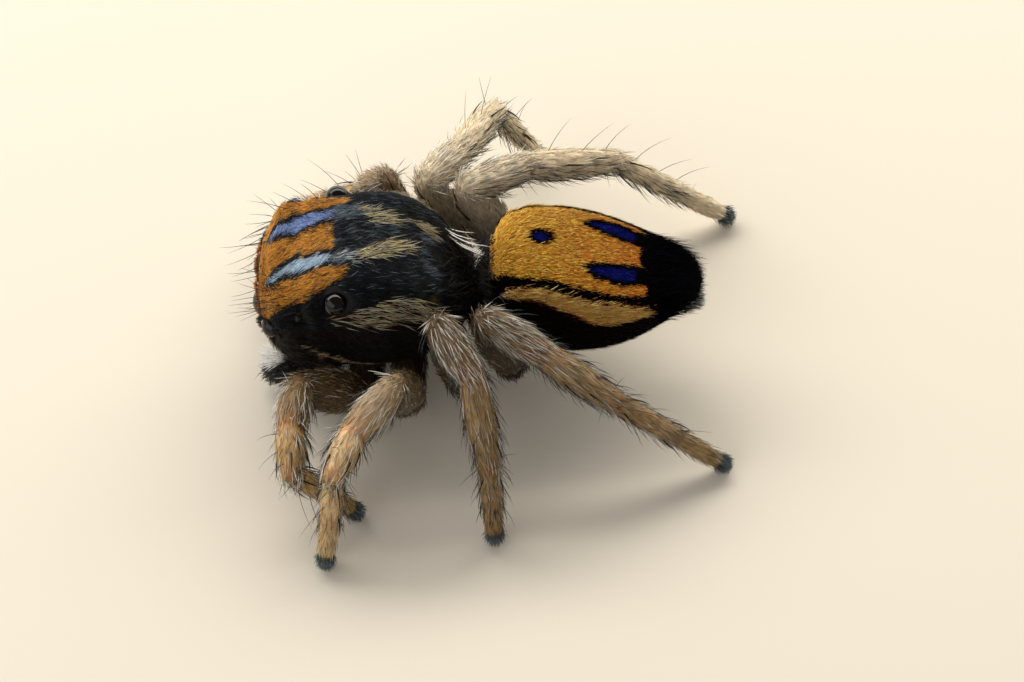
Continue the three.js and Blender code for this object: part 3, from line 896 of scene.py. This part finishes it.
def one_skin(mesh):
    """The flesh as one closed surface: filled with small cubes, smoothed, and tinted from its parts."""
    source = shown("flesh", mesh_data("flesh", mesh, scale=1.0, origin=np.zeros(3)))
    form = shown("skin_form", source.data.copy())
    remesh = form.modifiers.new("cubes", "REMESH")
    remesh.mode, remesh.voxel_size, remesh.adaptivity = "VOXEL", VOXEL, 0.0
    soften = form.modifiers.new("soften", "SMOOTH")
    soften.factor, soften.iterations = 0.5, 3
    data = evaluated(form)
    data.color_attributes.new("Tint", "FLOAT_COLOR", "POINT")
    form = shown("skin_tinted", data)
    carry = form.modifiers.new("tints", "DATA_TRANSFER")
    carry.object, carry.use_vert_data, carry.data_types_verts = source, True, {"COLOR_VERTEX"}
    carry.vert_mapping = "POLYINTERP_NEAREST"
    data = evaluated(form)
    bpy.data.objects.remove(source)
    flat = np.empty(len(data.vertices) * 3, np.float32)
    data.vertices.foreach_get("co", flat)
    data.vertices.foreach_set("co", ((flat.reshape(-1, 3) + ORIGIN) * MM).astype(np.float32).ravel())
    data.polygons.foreach_set("use_smooth", np.ones(len(data.polygons), bool))
    data.name = "skin"
    data.update()
    return data


# ---- Materials ----
def node(tree, kind, settings=None, **inputs):
    """A node with its settings, whose inputs take values or links."""
    made = tree.nodes.new(kind)
    for key, value in (settings or {}).items():
        setattr(made, key, value)
    for key, value in inputs.items():
        socket = made.inputs[key.replace("_", " ")]
        if isinstance(value, bpy.types.NodeSocket):
            tree.links.new(value, socket)
        else:
            socket.default_value = value
    return made


def finish(name, roughness, sockets=None, colour=None, bump=None, tone=None):
    """A Principled material of one colour, or in the piece's own tints.

    Tone is (scale, low, high): noise of that scale per metre multiplies the tint between low and high.
    Bump is (scale, height in metres): noise of that scale roughens the surface.
    """
    material = bpy.data.materials.new(name)
    material.use_nodes = True
    tree = material.node_tree
    shader = tree.nodes["Principled BSDF"]
    for key, value in {"Roughness": roughness, **(sockets or {})}.items():
        shader.inputs[key].default_value = value
    if colour:
        shader.inputs["Base Color"].default_value = (*linear(colour), 1)
        return material
    tint = node(tree, "ShaderNodeAttribute", {"attribute_name": "Tint"}).outputs["Color"]
    place = node(tree, "ShaderNodeTexCoord").outputs["Object"]
    if tone:
        noise = node(tree, "ShaderNodeTexNoise", Vector=place, Scale=tone[0], Detail=3.0)
        spread = node(tree, "ShaderNodeMapRange", Value=noise.outputs["Fac"], From_Min=0.3, From_Max=0.7,
                      To_Min=tone[1], To_Max=tone[2])
        tint = node(tree, "ShaderNodeVectorMath", {"operation": "SCALE"}, Vector=tint,
                    Scale=spread.outputs["Result"]).outputs["Vector"]
    if bump:
        rough = node(tree, "ShaderNodeTexNoise", Vector=place, Scale=bump[0], Detail=4.0)
        relief = node(tree, "ShaderNodeBump", Height=rough.outputs["Fac"], Distance=bump[1])
        tree.links.new(relief.outputs["Normal"], shader.inputs["Normal"])
    tree.links.new(tint, shader.inputs["Base Color"])
    return material


# Thin cuticle, hardened as it grew: a dull gloss over mottled tan, with fine wrinkles that break the light.
cuticle = finish(
    "cuticle_tanned",
    0.48,
    {"Specular IOR Level": 0.25},
    bump=(60000, 4e-6),
    tone=(11000, 0.7, 1.25),
)
# Flattened scales full of pigment, each with its own tone: satin, so that their ridges catch the light.
scale_cover = finish("scales_pigmented", 0.5, {"Specular IOR Level": 0.2})
# Scales ribbed across, whose ribs mirror the light in a golden tone: small glints on the plate.
scale_bright = finish(
    "scales_ribbed",
    0.4,
    {"Metallic": 0.15, "Specular IOR Level": 0.45, "Specular Tint": (1, 0.68, 0.32, 1)},
)
# Upright scales packed like the pile of velvet, which traps the light: a deep black.
scale_velvet = finish("scales_velvet", 0.8, {"Specular IOR Level": 0.02})
# Long hollow hairs: a soft sheen along their length.
hair_cover = finish("hairs_hollow", 0.45, {"Specular IOR Level": 0.35})
# The lens of an eye, clear cuticle polished by growth over a dark retina: it mirrors the lights sharply.
lens = finish("lens_clear_cuticle", 0.05, {"Specular IOR Level": 0.33}, colour="#000001")
# Claws of solid, dark cuticle: smooth and a little glossy.
CLAW_BROWN = "#15100d"
claw_cover = finish("claws_hard_cuticle", 0.3, colour=CLAW_BROWN)
# Matt painted board, which shows only soft shadows.
board = finish("board_matt_paint", 0.9, colour="#e4dccd")

# ---- Skin and eyes ----
FLESH_NODES = [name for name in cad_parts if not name.startswith("eye_")]
piece("skin", one_skin(joined(flesh)), cuticle, "leg", *FLESH_NODES)
for name, (centre, radius, axis, height) in SEATS.items():
    points, faces = ball(centre, radius, axis).triangles()
    mesh = {"points": points, "faces": faces, "tint": np.zeros_like(points)}
    piece(name.replace("eye", "lens"), mesh_data(name, mesh), lens, "eye", name)


# ---- The coat of the body ----
RAGGED = 0.012  # how far a marking's edge strays
WAVE = (0.22, 0.16)  # of the lie of the coat: its length along the body, and how far it swings
SWING_SPREAD = 0.17  # how far a scale's lie strays from its neighbours'
WARMTH_SPREAD = 0.06  # how far its colour strays towards red or blue
ROOT_DEPTH = 0.004  # of a scale's root in the skin
SCALE_BRIGHTEST, HAIR_BRIGHTEST = 0.95, 0.85  # in linear light


def wavy(places):
    """A gentle wave in the lie of the coat, out of step from flank to flank."""
    return WAVE[1] * np.sin(2 * math.pi * (places[:, 0] / WAVE[0] + places[:, 1] / 0.5 + 0.3 * places[:, 2]))


def zone_coat(surface, girths, zone_grid, zones_at, count, seed, keep, swing_at):
    """The scales of a body: the zone at each root sets colours, size, lift and how many stand there."""
    random = np.random.default_rng(seed)
    roots = sow(surface, count, seed, ZONE_NUMBERS[zone_grid, 4])
    strayed = roots.place + roots.along * random.normal(0, RAGGED, (count, 1))
    strayed_girths = roots.read(girths) + random.normal(0, RAGGED, count)
    zone = zones_at(strayed, strayed_girths, random.uniform(0, 1, count))
    kept = keep(roots.place, np.isin(zone, [ZONE[name] for name in MATT]))
    roots, zone = roots.only(kept), zone[kept]
    n = len(roots)
    tone_spread, length, width, lift, _ = ZONE_NUMBERS[zone].T
    tone = np.exp(random.normal(0, 1, n) * tone_spread)[:, None]
    warmth = 1 + random.normal(0, WARMTH_SPREAD, (n, 1)) * np.array([1, 0, -1])
    swing, longer, higher = swing_at(roots, zone)
    swing = swing + random.normal(0, SWING_SPREAD, n)
    lift = np.radians(lift * random.uniform(0.5, 1.5, n) * higher)
    way, up = roots.way(swing, lift)
    return strands(
        roots.place - roots.normal * ROOT_DEPTH,
        way,
        up,
        length * longer * random.uniform(0.7, 1.3, n),
        width * random.uniform(0.8, 1.25, n),
        [np.minimum(colours[zone] * tone * warmth, SCALE_BRIGHTEST) for colours in (ZONE_ROOT, ZONE_TIP)],
        roots.chart,
        SCALE,
        flat=0.35,
        droop=lift * 0.4,
        curl=random.normal(0, 0.1, n),
    )


def carapace_lie(roots, zone):
    """The flank's strands rise towards the rear in front and sink behind; the rest lies in gentle waves."""
    x = levelled(roots.place)[:, 0]
    flank = (zone == ZONE["flank"]) | (zone == ZONE["rim"])
    rise = roots.up_swing() * np.interp(x, (-1.5, -0.9, -0.3), (0.3, 0.05, -0.45))
    swing = np.where(flank, rise, wavy(roots.place) * (zone != ZONE["orange"]))
    return swing, np.ones(len(x)), np.ones(len(x))


def random_share(count, seed):
    """Numbers from 0 to 2, most of them low, so that a few strands stand out from the rest."""
    return 2 * np.random.default_rng(seed).uniform(0, 1, count) ** 2


def abdomen_lie(roots, zone):
    """The flank band's strands rise towards the rear, and the velvet stands up longer at the rear end."""
    x = roots.place[:, 0]
    band = zone == ZONE["band"]
    swing = np.where(band, roots.up_swing() * np.interp(x, (0.4, 1.2, 1.9), (0.22, 0.16, 0.0)), 0)
    rear = np.exp(-(((x - 2.2) / 0.25) ** 2)) * (zone == ZONE["velvet"]) * (roots.normal[:, 2] > -0.2)
    return swing, 1 + 1.3 * rear * random_share(len(x), 13), 1 + 0.8 * rear


EYE_CLEARANCE = (1.03, 0.012)  # a share of the eye's radius, and a gap beyond it


def clear_of_eyes(places):
    """True where a place lies clear of the eyes."""
    share, gap = EYE_CLEARANCE
    keep = np.ones(len(places), bool)
    for centre, radius, _, _ in SEATS.values():
        keep &= np.linalg.norm(places - centre, axis=1) > radius * share + gap
    return keep


PARTING = -1.05  # the carapace's coat is parted here, in its level frame
MATT = ("velvet", "belly", "spot")  # zones whose scales throw back almost no light
BODY_COATS = {
    "scales_head": lambda p, matt: clear_of_eyes(p) & (levelled(p)[:, 0] < PARTING),
    "scales_thorax": lambda p, matt: levelled(p)[:, 0] >= PARTING,
    "scales_abdomen_bright": lambda p, matt: ~matt,
    "scales_abdomen_black": lambda p, matt: matt,
}
# The ground that each body gives its scales, how many are sown, and the seed.
CARAPACE_GROUND = (prosoma, prosoma_girth, prosoma_zone, carapace_zones, 58000, 11)
ABDOMEN_GROUND = (abdomen, abdomen_girth, abdomen_zone, abdomen_zones, 52000, 12)
for name, keep in BODY_COATS.items():
    if "abdomen" in name:
        coat = zone_coat(*ABDOMEN_GROUND, keep, abdomen_lie)
        piece(name, mesh_data(name, coat), scale_velvet if "black" in name else scale_bright, "abdomen")
    else:
        coat = zone_coat(*CARAPACE_GROUND, keep, carapace_lie)
        piece(name, mesh_data(name, coat), scale_cover, "carapace")

# ---- Hairs of the limbs ----
# Of each kind of hair: root and tip colour, how many to the square millimetre, then length, width and
# lift in degrees.
WHITE = ("#a79d8c", "#f4efe6")
SILVER = ("#857d6d", "#d8cfbf")
TAN = ("#6e5129", "#c2a063")
BROWN = ("#33240f", "#7c6138")
DARK = ("#17110c", "#3a3026")
SLATE = ("#20262a", "#56625f")
LEG_COATS = {
    "coxa": ((DARK, 300, 0.12, 0.009, 20), (BROWN, 350, 0.12, 0.009, 20), (SILVER, 20, 0.2, 0.009, 25)),
    "femur": ((BROWN, 420, 0.1, 0.009, 26), (TAN, 200, 0.12, 0.008, 18), (SILVER, 55, 0.17, 0.009, 15),
              (WHITE, 18, 0.22, 0.012, 12), (DARK, 90, 0.12, 0.008, 30)),
    "patella": ((TAN, 220, 0.13, 0.008, 12), (SILVER, 170, 0.2, 0.01, 10), (WHITE, 50, 0.26, 0.013, 8),
                (DARK, 40, 0.16, 0.008, 30)),
    "tibia": ((TAN, 190, 0.14, 0.008, 10), (SILVER, 150, 0.2, 0.01, 9), (WHITE, 26, 0.25, 0.012, 8),
              (DARK, 40, 0.18, 0.008, 22)),
    "metatarsus": ((TAN, 200, 0.13, 0.008, 11), (SILVER, 110, 0.16, 0.009, 11), (WHITE, 14, 0.2, 0.011, 10),
                   (DARK, 65, 0.16, 0.008, 24)),
    "tarsus": ((TAN, 250, 0.11, 0.008, 13), (SILVER, 60, 0.12, 0.008, 14), (DARK, 140, 0.12, 0.009, 24)),
}
BLACK = ("#030303", "#0f0d0b")
PALP_COAT = ((BLACK, 1900, 0.13, 0.01, 34), (SLATE, 200, 0.17, 0.009, 44))
JAW_COAT = ((BLACK, 750, 0.09, 0.009, 22), (TAN, 130, 0.12, 0.008, 26))
# The waist's black hair is partly painted shade: it fills the shaded gap between the bodies.
WAIST_COAT = ((BLACK, 3800, 0.3, 0.012, 52),)
KNEE_COAT = ((("#cfcbc0", "#f8f6f0"), 11000, 0.18, 0.013, 64),)
SPINNERET_COAT = ((("#5d666a", "#a6b1b4"), 2000, 0.1, 0.009, 24), (BROWN, 700, 0.1, 0.009, 30))
TUFT_COAT = ((("#28323a", "#6e7e84"), 6500, 0.12, 0.011, 7),)
FRINGE_COAT = ((SLATE, 140, 0.27, 0.01, 24), (DARK, 60, 0.24, 0.01, 32))
WHITE_KNEES = ((WHITE, 170, 0.22, 0.016, 8),)


def area_of(surface):
    """The area of a surface, cell by cell."""
    grid = surface.grid
    onward = np.roll(grid, -1, axis=1)
    return float(np.linalg.norm(np.cross(grid[1:] - onward[:-1], onward[1:] - grid[:-1]), axis=2).sum() / 2)


def fur(surface, coat, seed, swing=0.16, look=(1.0, 0.0), keep=None):
    """Hairs of several kinds over a surface, mixed as their numbers say."""
    random = np.random.default_rng(seed)
    numbers = np.cumsum([kind[1] for kind in coat])
    roots = sow(surface, int(area_of(surface) * numbers[-1]), seed)
    if keep is not None:
        roots = roots.only(keep(roots))
    n = len(roots)
    which = np.minimum(np.searchsorted(numbers, random.uniform(0, numbers[-1], n)), len(coat) - 1)
    root_colours = np.array([linear(kind[0][0]) for kind in coat])[which]
    tip_colours = np.array([linear(kind[0][1]) for kind in coat])[which]
    length, width, lift = np.array([kind[2:] for kind in coat])[which].T
    shade = np.exp(random.normal(0, 0.25, n))[:, None]
    way, up = roots.way(random.normal(0, swing, n), np.radians(lift * random.uniform(0.4, 1.6, n)))
    return strands(
        roots.place,
        way,
        up,
        length * random.uniform(0.7, 1.3, n),
        width * random.uniform(0.8, 1.2, n),
        [np.minimum(looked(ends, look) * shade, HAIR_BRIGHTEST) for ends in (root_colours, tip_colours)],
        roots.chart,
        HAIR,
        flat=0.8,
        droop=np.radians(lift) * 0.5,
        curl=random.normal(0, 0.1, n),
    )


def from_below(roots):
    """How far round a limb each root lies from its inner bend, in turns: up to a half, on its upper side."""
    turn = roots.round / roots.surface.grid.shape[1]
    return np.minimum(turn, 1 - turn)


SPINE_SIZE = (0.26, 0.024, 22)  # length, width and lift in degrees
SPINE_COLOURS = ("#120c08", "#2c2018")
# Long fine hairs on the upper side, placed as the spines are, and their size.
FEELING_HAIRS = ((0.25, 0.5), (0.6, 0.46), (0.9, 0.54))
FEELING_SIZE = (0.42, 0.008, 65)


def even_tints(colours, count):
    """The colours of root and tip, the same for each of several strands."""
    return [np.tile(linear(colour), (count, 1)) for colour in colours]


def set_at(surface, places, size, colours, seed):
    """Bristles at given places of a limb."""
    random = np.random.default_rng(seed)
    share, turn = np.array(places).T
    n = len(share)
    columns = surface.grid.shape[1]
    down = LIMB_CAP_ROWS + share * (LIMB_ROWS - 1)
    roots = Roots(surface, down, turn * columns % columns, np.stack([share, turn], axis=1))
    length, width, lift = size
    way, up = roots.way(random.normal(0, 0.12, n), np.radians(lift * random.uniform(0.8, 1.2, n)))
    length = length * random.uniform(0.8, 1.2, n)
    return strands(roots.place, way, up, length, width, even_tints(colours, n), roots.chart, BRISTLE,
                   droop=0.25, curl=random.normal(0, 0.05, n))


SOLE_BALL = 0.075  # radius of the pad that bears the tuft of a foot
SOLE_ROW = 8  # the tuft grows past this row of the pad, towards the toe
UNDERSIDE = 0.3  # in turns: the fringe grows nearer to the inner bend than this, the white hairs farther


def under_side(roots):
    """True on the underside of a limb."""
    return from_below(roots) < UNDERSIDE


def upper_side(roots):
    """True on the upper side of a limb."""
    return from_below(roots) > UNDERSIDE


def on_sole(roots):
    """True on the part of a foot's pad that bears its tuft."""
    return roots.down > SOLE_ROW


claws = []
for (side, number), leg in LEGS.items():
    seed = 100 * number + (50 if side == "left" else 0)
    coats = []
    for k, (part, surface) in enumerate(leg.items()):
        coats.append(fur(surface, LEG_COATS[part], seed + k, look=look_of(side, number, part)))
        if part in ("patella", "tibia", "metatarsus"):
            coats.append(fur(surface, FRINGE_COAT, seed + 10 + k, keep=under_side))
        if part in ("tibia", "metatarsus"):
            coats.append(set_at(surface, FEELING_HAIRS, FEELING_SIZE, DARK, seed + 20 + k))
        if part == "patella" and number > 2:
            coats.append(fur(surface, WHITE_KNEES, seed + 50 + k, swing=0.07, keep=upper_side))
        if part in SPINES:
            coats.append(set_at(surface, SPINES[part], SPINE_SIZE, SPINE_COLOURS, seed + 30 + k))
    split, toe = JOINTS[side, number][-2:]
    axis = unit(toe - split)
    pad = ball(toe - 0.02 * axis, SOLE_BALL, axis)
    coats.append(fur(pad, TUFT_COAT, seed + 40, swing=0.1, keep=on_sole))
    name = f"hairs_leg_{side}_{number}"
    piece(name, mesh_data(name, joined(coats)), hair_cover, "leg")
    outward = unit(np.cross(axis, [0, 0, 1]))
    for across in (-1, 1):
        claw_root = toe + axis * 0.05 + across * 0.03 * outward
        claws.append((claw_root, unit(axis + 0.15 * across * outward), outward))

CLAW_LENGTH, CLAW_WIDTH = 0.12, 0.03
claw_place, claw_way, claw_out = (np.array(rows) for rows in zip(*claws))
claw_mesh = strands(claw_place, claw_way, np.cross(claw_out, claw_way), CLAW_LENGTH, CLAW_WIDTH,
                    even_tints((CLAW_BROWN, CLAW_BROWN), len(claws)), np.full((len(claws), 2), 0.5),
                    BRISTLE, droop=0.6, sides=6)
piece("claws", mesh_data("claws", claw_mesh), claw_cover, "leg")

TUFT_FACES = np.array([-0.35, 0.45, 0.82])  # the way that a feeler's white tuft faces


def on_knee(tip):
    """A test for the roots of the white tuft: on the knee of a feeler, above the start of its outer piece."""
    knee = tip.grid[LIMB_CAP_ROWS].mean(axis=0)
    return lambda roots: (roots.place[:, 2] > knee[2] - 0.02) & (roots.normal @ TUFT_FACES > 0.6)


face_coats = []
for side, sign in SIDES.items():
    face_coats.append(fur(JAWS[side], JAW_COAT, 710 + sign))
    face_coats += [fur(part, PALP_COAT, 700 + k + sign, swing=0.5) for k, part in enumerate(PALPS[side])]
    feeler_tip = PALPS[side][1]
    face_coats.append(fur(feeler_tip, KNEE_COAT, 720 + sign, keep=on_knee(feeler_tip)))
piece("hairs_palps_jaws", mesh_data("hairs_palps_jaws", joined(face_coats)), hair_cover, "feeler")


# ---- Fringes of the eyes, bristles of the head and waist ----
def fringe(name, colours_above, colours_below, count, length, seed):
    """Hairs round an eye's rim, that lean out over the head, in one colour above and another below."""
    random = np.random.default_rng(seed)
    centre, radius, axis, height = SEATS[name]
    side = unit(np.cross(axis, [0.0, 0.3, 1.0]))
    up = np.cross(side, axis)
    turn = random.uniform(0, 2 * math.pi, count)
    out = np.cos(turn)[:, None] * side + np.sin(turn)[:, None] * up
    rim = math.sqrt(radius**2 - height**2) + 0.012 + random.uniform(0, 0.03, count)
    place = centre + axis * height + out * rim[:, None]
    way = unit(out + axis * random.uniform(0.3, 0.9, (count, 1)) + random.normal(0, 0.2, (count, 3)))
    top = unit(axis - way * (way @ axis)[:, None])
    above = out[:, 2] > random.uniform(-0.3, 0.3, count)
    tints = [np.where(above[:, None], linear(a), linear(b)) for a, b in zip(colours_above, colours_below)]
    return strands(place, way, top, length * random.uniform(0.7, 1.3, count), 0.011, tints,
                   np.stack([turn / (2 * math.pi), np.full(count, 0.5)], axis=1), HAIR)


def bristles(surface, count, seed, mask, size, colours, swing, droop, curl=0.0):
    """Bristles sown where the mask is true, of a size given as length, width and lift in degrees."""
    random = np.random.default_rng(seed)
    roots = sow(surface, count, seed, mask.astype(float) + 1e-9, shake=2.0)
    length, width, lift = size
    swing = swing + random.normal(0, 0.3, count)
    way, up = roots.way(swing, np.radians(lift * random.uniform(0.7, 1.3, count)))
    length = length * random.uniform(0.6, 1.4, count)
    return strands(roots.place, way, up, length, width, even_tints(colours, count), roots.chart, BRISTLE,
                   droop=droop, curl=curl + random.normal(0, 0.05, count))


level_x, level_y, level_z = levelled(prosoma.grid.reshape(-1, 3)).T.reshape(3, *prosoma_girth.shape)
over_head = (level_x < -1.25) & (prosoma_girth > 0.45) & (prosoma_girth < 0.9) & (level_z > 0.7)
over_brow = (level_x < -2.0) & (level_z > 0.75)
signed = np.sign(level_y) * prosoma_girth
rear_slope = (level_x > -0.07) & (level_x < 0.04) & (signed > 0.26) & (signed < 0.62)
rear_face = (level_x > -0.12) & (prosoma_girth < 0.9)
shoulders = (abdomen.grid[..., 0] < 0.3) & (abdomen.grid[..., 2] > 0.8)
BLACK_HAIR = ("#0c0a09", "#1d1815")
WHITE_BRISTLE = ("#d5d0c6", "#ffffff")
# Colours of an eye's fringe above and below it: the large front eyes, then the smaller ones beside them.
FRINGES = {
    "median": (("#7d3f08", "#d18a34"), ("#8f7c58", "#e6d9bb")),
    "lateral": (BLACK_HAIR, ("#1d150e", "#4a3a28")),
}
setae = [
    bristles(prosoma, 24, 801, over_head, (0.4, 0.009, 50), BLACK_HAIR, math.pi, 0.15),
    bristles(prosoma, 20, 802, over_brow, (0.4, 0.009, 42), BLACK_HAIR, math.pi, -0.15),
    bristles(prosoma, 11, 803, rear_slope, (0.42, 0.016, 22), WHITE_BRISTLE, -0.6, -0.35, -0.2),
]
for name in EYES:
    if "anterior" in name:
        above, below = FRINGES["median" if "median" in name else "lateral"]
        setae.append(fringe(name, above, below, 240, 0.055, 810 + len(setae)))
piece("bristles_head", mesh_data("bristles_head", joined(setae)), hair_cover, "carapace")
# Black hairs of the waist, the rear face of the carapace and the front of the abdomen: partly painted shade,
# which fills the shaded gap between the two bodies with black.
waist = [
    fur(pedicel, WAIST_COAT, 840, swing=0.5),
    bristles(prosoma, 420, 804, rear_face, (0.28, 0.012, 20), BLACK_HAIR, 0.0, 0.2),
    bristles(abdomen, 420, 805, shoulders, (0.22, 0.012, 24), BLACK_HAIR, math.pi, 0.1),
]
piece("hairs_waist_painted_shade", mesh_data("hairs_waist_painted_shade", joined(waist)), hair_cover, "carapace")
spinneret_coats = [fur(part, SPINNERET_COAT, 830 + k) for k, part in enumerate(SPINNERETS)]
piece("hairs_spinnerets", mesh_data("hairs_spinnerets", joined(spinneret_coats)), hair_cover, "spinneret")

# ---- Floor, light and camera ----
MIDDLE = (ORIGIN + [0.467, -0.6, 0.9]) * MM  # what the lights and the camera point at
ELEVATION = math.radians(54)  # of the camera over the floor
DISTANCE = 0.0632  # from there to the camera, in metres
scene = bpy.context.scene


def placed(name, data, place):
    """A light or camera at a place, turned to the middle of the view."""
    made = bpy.data.objects.new(name, data)
    scene.collection.objects.link(made)
    made.location = place
    way = mathutils.Vector(MIDDLE) - mathutils.Vector(place)
    made.rotation_euler = way.to_track_quat("-Z", "Y").to_euler()
    return made


FLOOR_HALF = 0.6  # half of its width, in metres
floor_data = bpy.data.meshes.new("floor")
floor_corners = [(-FLOOR_HALF, -FLOOR_HALF, 0), (FLOOR_HALF, -FLOOR_HALF, 0)]
floor_corners += [(FLOOR_HALF, FLOOR_HALF, 0), (-FLOOR_HALF, FLOOR_HALF, 0)]
floor_data.from_pydata(floor_corners, [], [(0, 1, 2, 3)])
floor_data.materials.append(board)
floor = bpy.data.objects.new("floor", floor_data)
scene.collection.objects.link(floor)

# Soft lights: place from the middle, width and height in metres, power and colour.
LIGHTS = {
    "key": ((-0.006, 0.043, 0.043), (0.18, 0.025), 0.088, "#fffaf0"),
    "rim": ((0.0, 0.07, 0.009), (0.24, 0.012), 0.05, "#fffaf2"),
    "fill": ((-0.055, -0.042, 0.036), (0.13, 0.06), 0.033, "#f6f6fb"),
}
for name, (place, size, power, colour) in LIGHTS.items():
    light = bpy.data.lights.new(name, "AREA")
    light.shape, light.energy, light.color = "RECTANGLE", power, linear(colour)
    light.size, light.size_y = size
    placed(name, light, MIDDLE + np.array(place))
world = bpy.data.worlds.new("studio")
world.use_nodes = True
background = world.node_tree.nodes["Background"]
background.inputs["Color"].default_value = (*linear("#fdf8f0"), 1)
background.inputs["Strength"].default_value = 0.25
scene.world = world
scene.view_settings.view_transform = "Standard"

camera_data = bpy.data.cameras.new("camera")
camera_data.lens, camera_data.sensor_width = 200, 36
camera_data.clip_start, camera_data.clip_end = 0.001, 10
way_back = np.array([0, -math.cos(ELEVATION), math.sin(ELEVATION)])
scene.camera = placed("camera", camera_data, MIDDLE + DISTANCE * way_back)
